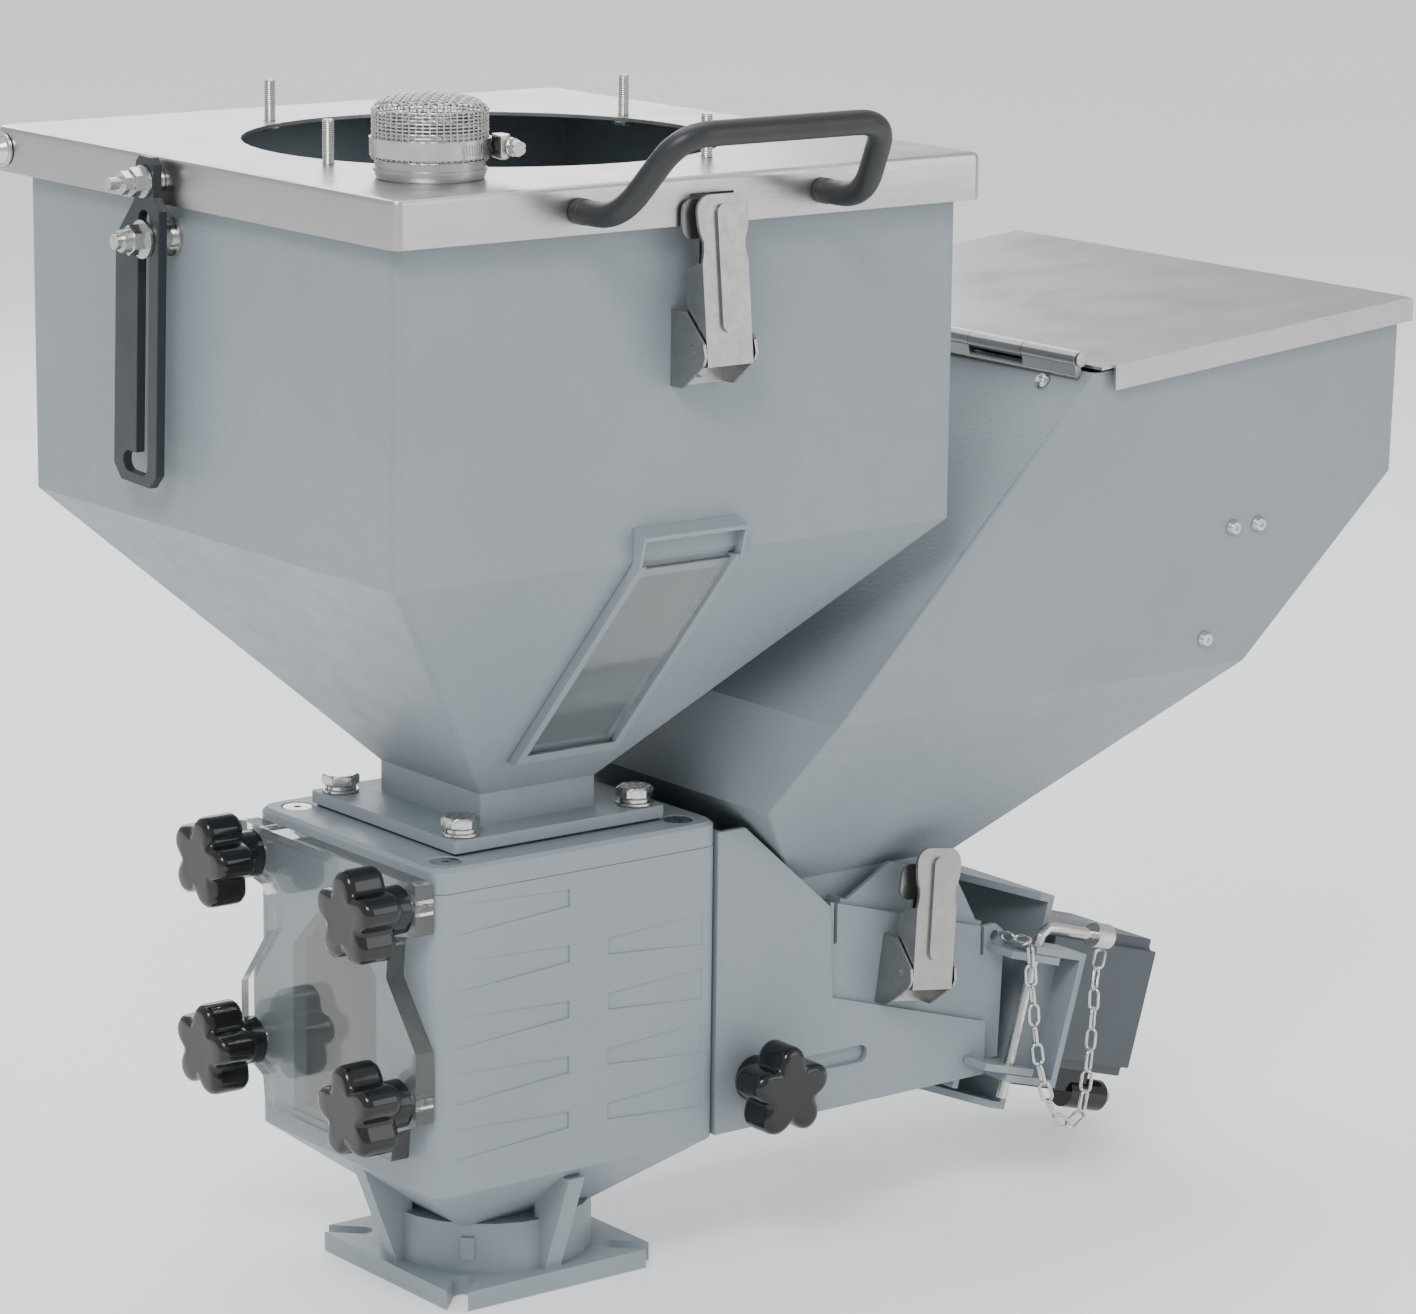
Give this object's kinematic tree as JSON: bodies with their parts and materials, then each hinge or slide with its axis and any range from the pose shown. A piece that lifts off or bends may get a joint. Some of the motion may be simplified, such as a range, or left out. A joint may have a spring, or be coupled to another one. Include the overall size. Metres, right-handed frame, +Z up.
{
  "type": "volumetric dosing and mixing unit",
  "caption": "Granule dosing and mixing unit: square hopper with hinged vented lid over a cast mixing neck, with a sloping side hopper on a sliding geared screw feeder.",
  "frame": {"origin": "centre of the base flange's underside, where the unit stands on the machine's throat", "axes": "+Z up; +X towards the dosing screw and its motor; -Y the ribbed side with the latches and the lid handle; -X the clear inspection cover"},
  "size_m": [0.697, 0.4279, 0.6242],
  "materials": {
    "hopper_paint": "satin orange-peel powder coat, blue-grey",
    "cast_paint": "satin paint on a casting, blue-grey",
    "satin_stainless": "satin stainless sheet",
    "zinc_plate": "bright zinc plate",
    "black_steel": "matt black powder coat",
    "black_plastic": "glossy black thermoset",
    "motor_paint": "dark slate satin coat",
    "clear_acrylic": "clear polished acrylic",
    "gasket_rubber": "matt dark rubber"
  },
  "bodies": {
    "unit": {"neck_housing": "cast_paint", "neck_top_plate": "cast_paint", "hopper_gasket": "gasket_rubber", "main_hopper": "hopper_paint", "sight_window": "clear_acrylic", "window_frame": "hopper_paint", "stay_guide_bolt": "zinc_plate", "main_latch_base": "zinc_plate", "dosing_console": "hopper_paint", "top_plate_screw_1": "zinc_plate", "top_plate_screw_2": "zinc_plate", "top_plate_screw_3": "zinc_plate", "top_plate_screw_4": "zinc_plate", "hopper_bolt_1": "zinc_plate", "hopper_bolt_2": "zinc_plate", "hopper_bolt_3": "zinc_plate", "hopper_bolt_4": "zinc_plate"},
    "front_cover": {"front_cover": "clear_acrylic"},
    "main_lid": {"main_lid": "satin_stainless", "vent_pipe": "satin_stainless", "vent_mesh_cap": "satin_stainless", "hose_clamp": "zinc_plate", "lid_handle": "black_steel", "lid_pivot_screw_left": "zinc_plate", "lid_pivot_screw_right": "zinc_plate", "stay_pivot_bolt": "zinc_plate", "loader_stud_1": "zinc_plate", "loader_stud_2": "zinc_plate", "loader_stud_3": "zinc_plate", "loader_stud_4": "zinc_plate"},
    "lid_stay": {"lid_stay": "black_steel"},
    "main_latch_lever": {"main_latch_lever": "zinc_plate"},
    "main_latch_hook": {"main_latch_hook": "zinc_plate"},
    "dosing_carriage": {"dosing_carriage": "hopper_paint", "dosing_hopper": "hopper_paint", "dosing_hopper_screw_1": "zinc_plate", "dosing_hopper_screw_2": "zinc_plate", "dosing_hopper_screw_3": "zinc_plate", "dosing_hopper_screw_4": "zinc_plate", "dosing_hopper_screw_5": "zinc_plate", "dosing_hinge_leaf": "satin_stainless", "dosing_hinge_pin": "satin_stainless", "screw_tube": "satin_stainless", "motor_bracket": "hopper_paint", "drive_gearbox": "motor_paint", "drive_motor": "motor_paint", "motor_connector": "black_plastic", "lock_chain": "zinc_plate", "dosing_latch_base": "zinc_plate"},
    "console_knob": {"console_knob": "black_plastic"},
    "dosing_lid": {"dosing_lid": "satin_stainless"},
    "dosing_screw": {"dosing_screw": "satin_stainless", "drive_coupling": "zinc_plate"},
    "lock_pin": {"lock_pin": "zinc_plate"},
    "dosing_latch_lever": {"dosing_latch_lever": "zinc_plate"},
    "dosing_latch_hook": {"dosing_latch_hook": "zinc_plate"},
    "cover_knob_1": {"cover_knob_1": "black_plastic"},
    "cover_knob_2": {"cover_knob_2": "black_plastic"},
    "cover_knob_3": {"cover_knob_3": "black_plastic"},
    "cover_knob_4": {"cover_knob_4": "black_plastic"}
  },
  "joints": [
    {"name": "front_cover_slide", "type": "slide", "parent": "unit", "child": "front_cover", "axis": [-1, 0, 0], "range_m": [0, 0.06]},
    {"name": "cover_knob_1_turn", "type": "hinge", "parent": "front_cover", "child": "cover_knob_1", "pos_m": [-0.105, -0.0665, 0.2185], "axis": [-1, 0, 0], "continuous": true},
    {"name": "cover_knob_2_turn", "type": "hinge", "parent": "front_cover", "child": "cover_knob_2", "pos_m": [-0.105, 0.0665, 0.2185], "axis": [-1, 0, 0], "continuous": true},
    {"name": "cover_knob_3_turn", "type": "hinge", "parent": "front_cover", "child": "cover_knob_3", "pos_m": [-0.105, -0.0665, 0.119], "axis": [-1, 0, 0], "continuous": true},
    {"name": "cover_knob_4_turn", "type": "hinge", "parent": "front_cover", "child": "cover_knob_4", "pos_m": [-0.105, 0.0665, 0.119], "axis": [-1, 0, 0], "continuous": true},
    {"name": "main_lid_hinge", "type": "hinge", "parent": "unit", "child": "main_lid", "pos_m": [0, 0.176, 0.573], "axis": [-1, 0, 0], "range_deg": [0, 44]},
    {"name": "lid_stay_swing", "type": "hinge", "parent": "main_lid", "child": "lid_stay", "pos_m": [-0.1805, 0.0264, 0.573], "axis": [-1, 0, 0], "range_deg": [-24.4, 0]},
    {"name": "main_latch_lever_hinge", "type": "hinge", "parent": "unit", "child": "main_latch_lever", "pos_m": [0.006, -0.1813, 0.503], "axis": [1, 0, 0], "range_deg": [0, 140]},
    {"name": "main_latch_hook_swing", "type": "hinge", "parent": "main_latch_lever", "child": "main_latch_hook", "pos_m": [0.006, -0.1808, 0.517], "axis": [1, 0, 0], "range_deg": [-127, 0]},
    {"name": "carriage_slide", "type": "slide", "parent": "unit", "child": "dosing_carriage", "axis": [1, 0, 0], "range_m": [0, 0.07]},
    {"name": "console_knob_turn", "type": "hinge", "parent": "dosing_carriage", "child": "console_knob", "pos_m": [0.113, -0.09, 0.097], "axis": [0, -1, 0], "continuous": true},
    {"name": "dosing_lid_hinge", "type": "hinge", "parent": "dosing_carriage", "child": "dosing_lid", "pos_m": [0.267, 0, 0.4695], "axis": [0, -1, 0], "range_deg": [0, 95]},
    {"name": "dosing_screw_turn", "type": "hinge", "parent": "dosing_carriage", "child": "dosing_screw", "pos_m": [0.088, 0, 0.166], "axis": [0.9613, 0, -0.2756], "continuous": true},
    {"name": "lock_pin_slide", "type": "slide", "parent": "dosing_carriage", "child": "lock_pin", "axis": [0.2756, 0, 0.9613], "range_m": [0, 0.085]},
    {"name": "dosing_latch_lever_hinge", "type": "hinge", "parent": "dosing_carriage", "child": "dosing_latch_lever", "pos_m": [0.2155, -0.0928, 0.1395], "axis": [0.9903, 0, -0.1392], "range_deg": [0, 140]},
    {"name": "dosing_latch_hook_swing", "type": "hinge", "parent": "dosing_latch_lever", "child": "dosing_latch_hook", "pos_m": [0.21745, -0.0923, 0.15336], "axis": [0.9903, 0, -0.1392], "range_deg": [-127, 0]}
  ],
  "couplings": [
    {"joint": "lid_stay_swing", "follows": "main_lid_hinge", "ratio": -0.55},
    {"joint": "main_latch_hook_swing", "follows": "main_latch_lever_hinge", "ratio": -0.9},
    {"joint": "dosing_latch_hook_swing", "follows": "dosing_latch_lever_hinge", "ratio": -0.9}
  ]
}
